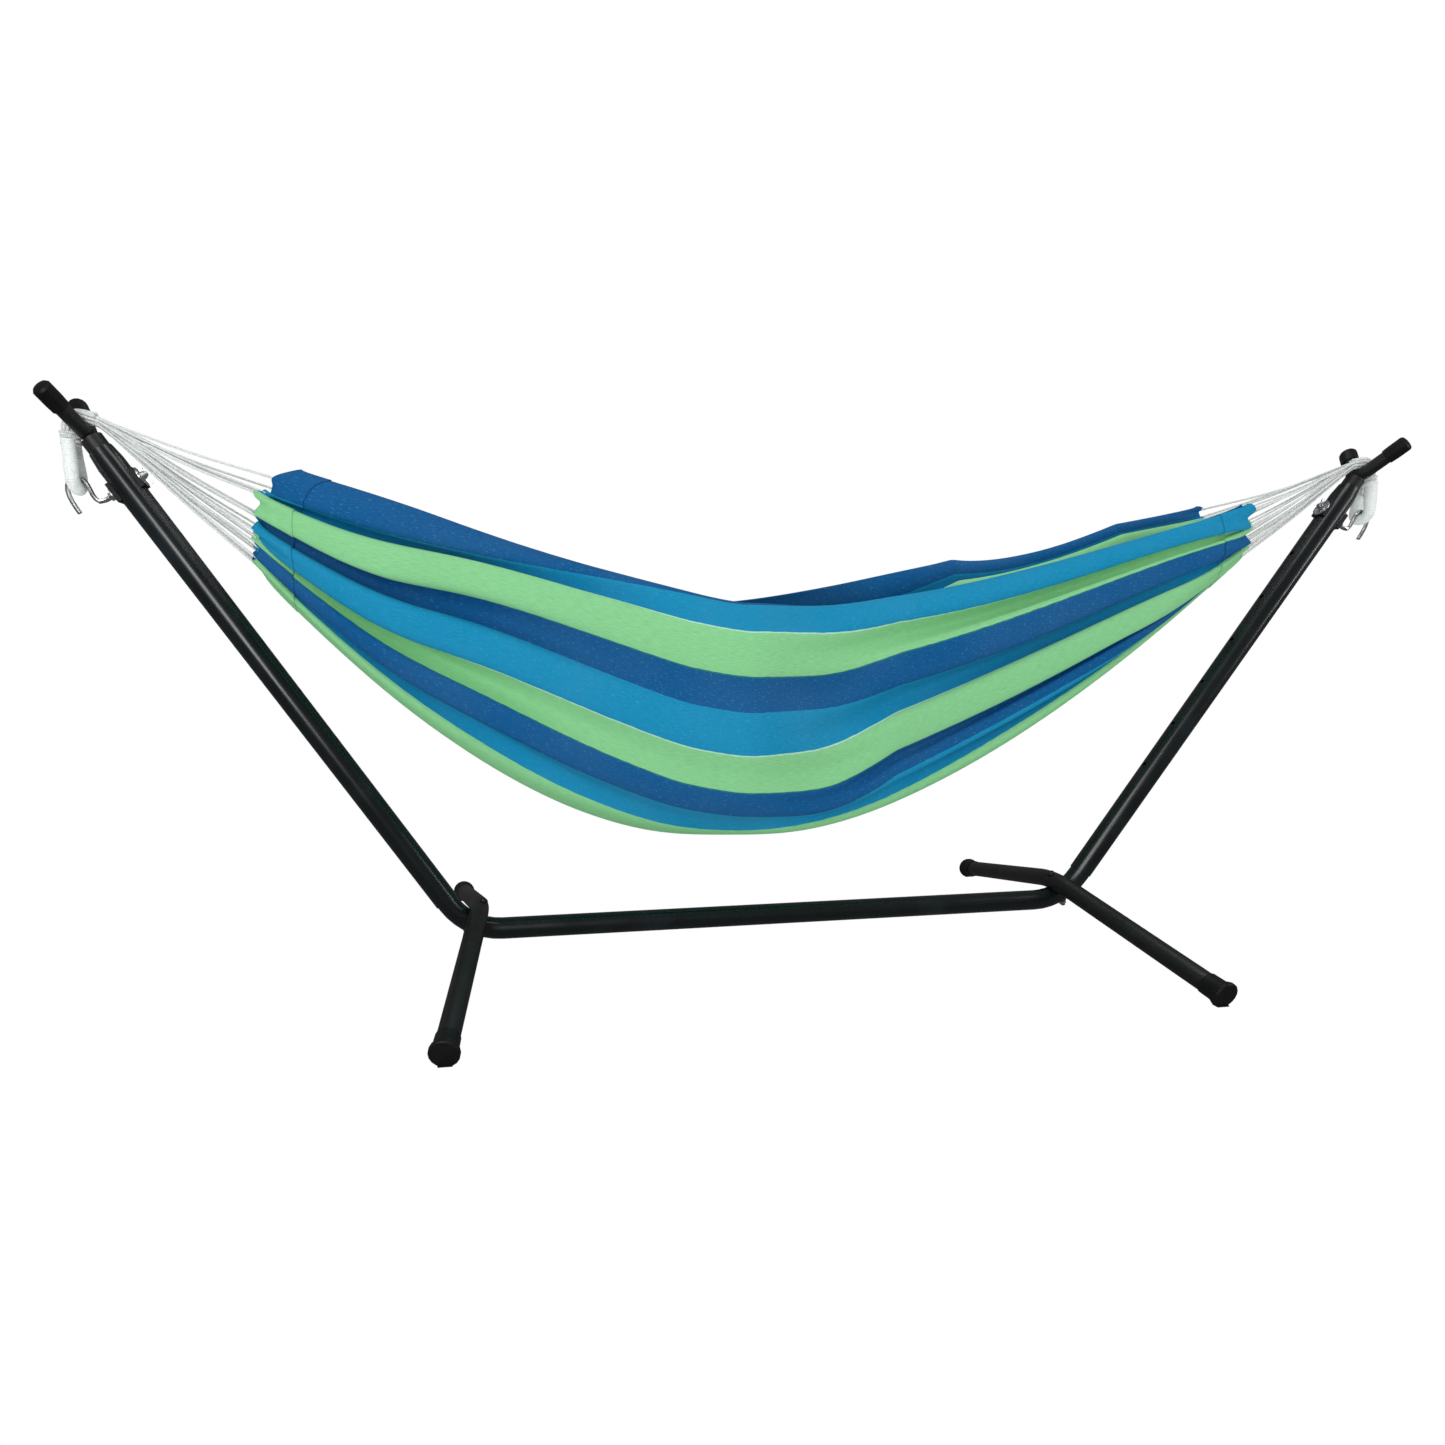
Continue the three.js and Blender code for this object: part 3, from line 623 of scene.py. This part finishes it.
def strip(name, places, lift, shift, material):
    """Cloth between the first and last of places along X, lifted outwards by lift."""
    rows = []
    for x in places:
        points, normals = cloth_row(x)
        near_end = (abs(x) / CLOTH_END) ** 60
        between_cords = np.abs(np.cos(np.linspace(0, math.pi * CORDS_PER_END, COLUMNS + 1)))
        points[:, 0] -= math.copysign(1, x) * 0.014 * near_end * between_cords**1.5
        rows.append(points + normals * lift)
    vertices = np.concatenate(rows)
    width = COLUMNS + 1
    faces, uvs = [], []
    lengths = np.array(places) * CLOTH_LENGTH / (2 * CLOTH_END)
    for i in range(len(places) - 1):
        for j in range(COLUMNS):
            a = i * width + j
            faces.append((a, a + width, a + width + 1, a + 1))
            u0, u1 = ((j + k) * CLOTH_WIDTH / COLUMNS + shift for k in (0, 1))
            v0, v1 = lengths[i], lengths[i + 1]
            uvs += [(u0, v0), (u0, v1), (u1, v1), (u1, v0)]
    obj = make_mesh(name, vertices, faces, uvs, material)
    thickness = obj.modifiers.new("thickness", "SOLIDIFY")
    thickness.thickness = 0.0012
    thickness.offset = 0
    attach(obj, "hammock")
    return obj


def add_cloth(material):
    t = np.linspace(-1, 1, ROWS)
    places = CLOTH_END * (0.75 * t + 0.25 * np.sin(t * math.pi / 2))
    bed = strip("bed_cloth", places, 0.0, 0.0, material)
    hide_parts("hammock_bed")
    for side in (-1, 1):
        ends = [side * CLOTH_END, side * (CLOTH_END - HEM_DEPTH)]
        hem = strip(("left" if side < 0 else "right") + "_hem_cloth",
                    np.linspace(min(ends), max(ends), 22), 0.0016, 0.003, material)
        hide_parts(("left" if side < 0 else "right") + "_hem")


# ------------------------------------------------------------------ cords and ropes


def bundle_centre():
    low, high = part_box("right_eye_rope")
    return (low[1] + high[1]) / 2, high[2] - 0.0115


def add_clew_cords(side, material):
    """The cords between the hem and the bundle inside one fork."""
    name = "right" if side > 0 else "left"
    centre_y, centre_z = bundle_centre()
    row, _ = cloth_row(side * (CLOTH_END - 0.006))
    cords = TubeSet(8)
    for index in range(CORDS_PER_END):
        share = (index + 0.5) / CORDS_PER_END
        end = row[int(share * COLUMNS)].copy()
        angle = 2 * math.pi * (index * 0.382)
        ring = 0.0075 * math.sqrt((index % 8 + 0.5) / 8)
        start = np.array([
            side * (PIVOT_X + 0.004),
            centre_y + ring * math.cos(angle),
            centre_z - 0.003 + ring * math.sin(angle),
        ])
        knee = start + (end - start) * 0.10 + np.array([0, 0, 0.002])
        droop = np.array([0, 0, -0.0035 - 0.002 * random.random()])
        points = [start, knee, (knee + end) / 2 + droop, end]
        cords.add(smooth_path(points, 36), CORD_RADIUS)
    piece = cords.make(f"{name}_fan_cords", material, "hammock")
    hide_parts(f"{name}_clew_cords")


def add_eye(side, cord_material, whipping_material):
    """The gathered cords over one fork, their collar, and the whipped eye on the hook."""
    name = "right" if side > 0 else "left"
    low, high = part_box(f"{name}_eye_rope")
    outer_x = high[0] if side > 0 else low[0]
    centre_y, centre_z = bundle_centre()
    eye_x = outer_x - side * 0.011
    collar_low, collar_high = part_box(f"{name}_whipping_collar")
    collar_z = (collar_low[2] + collar_high[2]) / 2
    eye_bottom = low[2]

    spine = [
        (side * PIVOT_X, 0, centre_z - 0.003),
        (eye_x - side * 0.02, 0, centre_z + 0.001),
        (eye_x - side * 0.0065, 0, centre_z - 0.004),
        (eye_x, 0, centre_z - 0.018),
        (eye_x, 0, collar_z),
        (eye_x, 0, collar_z - 0.03),
    ]
    line = smooth_path(spine, 40)
    strands = TubeSet(8)
    for index in range(14):
        turn = 2 * math.pi * index / 9 if index < 9 else 2 * math.pi * index / 5
        ring = 0.0088 if index < 9 else 0.0038
        path = []
        for step, point in enumerate(line):
            angle = turn + 1.3 * step / len(line)
            tangent = line[min(step + 1, 39)] - line[max(step - 1, 0)]
            tangent /= np.linalg.norm(tangent)
            up = np.cross(tangent, (0, 1, 0))
            path.append(point + ring * (math.cos(angle) * np.array([0, 1, 0]) + math.sin(angle) * up))
        strands.add(path, 0.0029)
    bundle = strands.make(f"{name}_bundle_cords", cord_material, "stand")

    limbs = TubeSet(20)
    half_gap = 0.017
    bend_z = eye_bottom + 0.011 + half_gap
    top_z = collar_z - 0.004
    shape = [(0.010, top_z), (0.0125, top_z - 0.018), (0.0155, bend_z + 0.018)]
    shape += [
        (half_gap * math.cos(a), bend_z - half_gap * math.sin(a))
        for a in (0, math.pi / 8, math.pi / 4, 3 * math.pi / 8)
    ]
    shape += [(0, bend_z - half_gap)] + [(-y, z) for y, z in reversed(shape)]
    path = smooth_path([(eye_x, y, z) for y, z in shape], 420)
    turns = np.arange(420)
    swell = 1 + 0.035 * np.sin(turns * 1.55) + 0.02 * np.sin(turns * 0.11)
    limbs.add(path, 0.0112 * swell)
    eye = limbs.make(f"{name}_eye_whipping", whipping_material, "stand")
    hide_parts(f"{name}_eye_rope")

    collar = TubeSet(8)
    for index in range(7):
        height = collar_z + (index - 3) * 0.0034
        ring = 0.0128 + 0.0016 * math.sin(index * 2.1)
        path = []
        for step in range(41):
            angle = 2 * math.pi * step / 40
            wave = 0.0011 * math.sin(3 * angle + index * 1.7)
            path.append((
                eye_x + (ring + wave) * math.cos(angle),
                (ring + wave) * math.sin(angle),
                height + 0.002 * math.sin(angle + index),
            ))
        collar.add(path, 0.0026)
    knot = collar.make(f"{name}_collar_cords", cord_material, "stand")
    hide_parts(f"{name}_whipping_collar")
    return bundle


# ------------------------------------------------------------------ metal and plastic


def finish_cad_nodes(materials):
    """Rounds the shading of the CAD tubes and gives every shown CAD node its material."""
    slots = {part["node"]: part["material_slot"] for part in frame["record"]["subparts"]}
    for name, obj in frame["nodes"].items():
        if obj.hide_render:
            continue
        obj.data.materials.clear()
        obj.data.materials.append(materials[slots[name]])
        attribute = obj.data.attributes.get("custom_normal")
        if attribute:
            obj.data.attributes.remove(attribute)
        obj.data.polygons.foreach_set("use_smooth", [True] * len(obj.data.polygons))
        weld = obj.modifiers.new("weld", "WELD")
        weld.merge_threshold = 0.00002
        split = obj.modifiers.new("sharp_edges", "EDGE_SPLIT")
        split.split_angle = math.radians(32)


# ------------------------------------------------------------------ the scene

add_camera()
add_studio()

cord = cotton_cord("cotton_cord", 130.0)
whipping = whipping_cord()
add_cloth(striped_cloth())
for end in (-1, 1):
    add_clew_cords(end, cord)
    add_eye(end, cord, whipping)

finish_cad_nodes({
    "stand_black": painted_steel("gloss_black", (0.003, 0.0055, 0.0065, 1), (0.22, 0.29), 0.06),
    "foot_black": painted_steel("satin_black", (0.003, 0.003, 0.0035, 1), (0.42, 0.55), 0.2),
    "cap_black": moulded_plastic(),
    "zinc": zinc_plate(),
    "sleeve_steel": zinc_plate(),
})
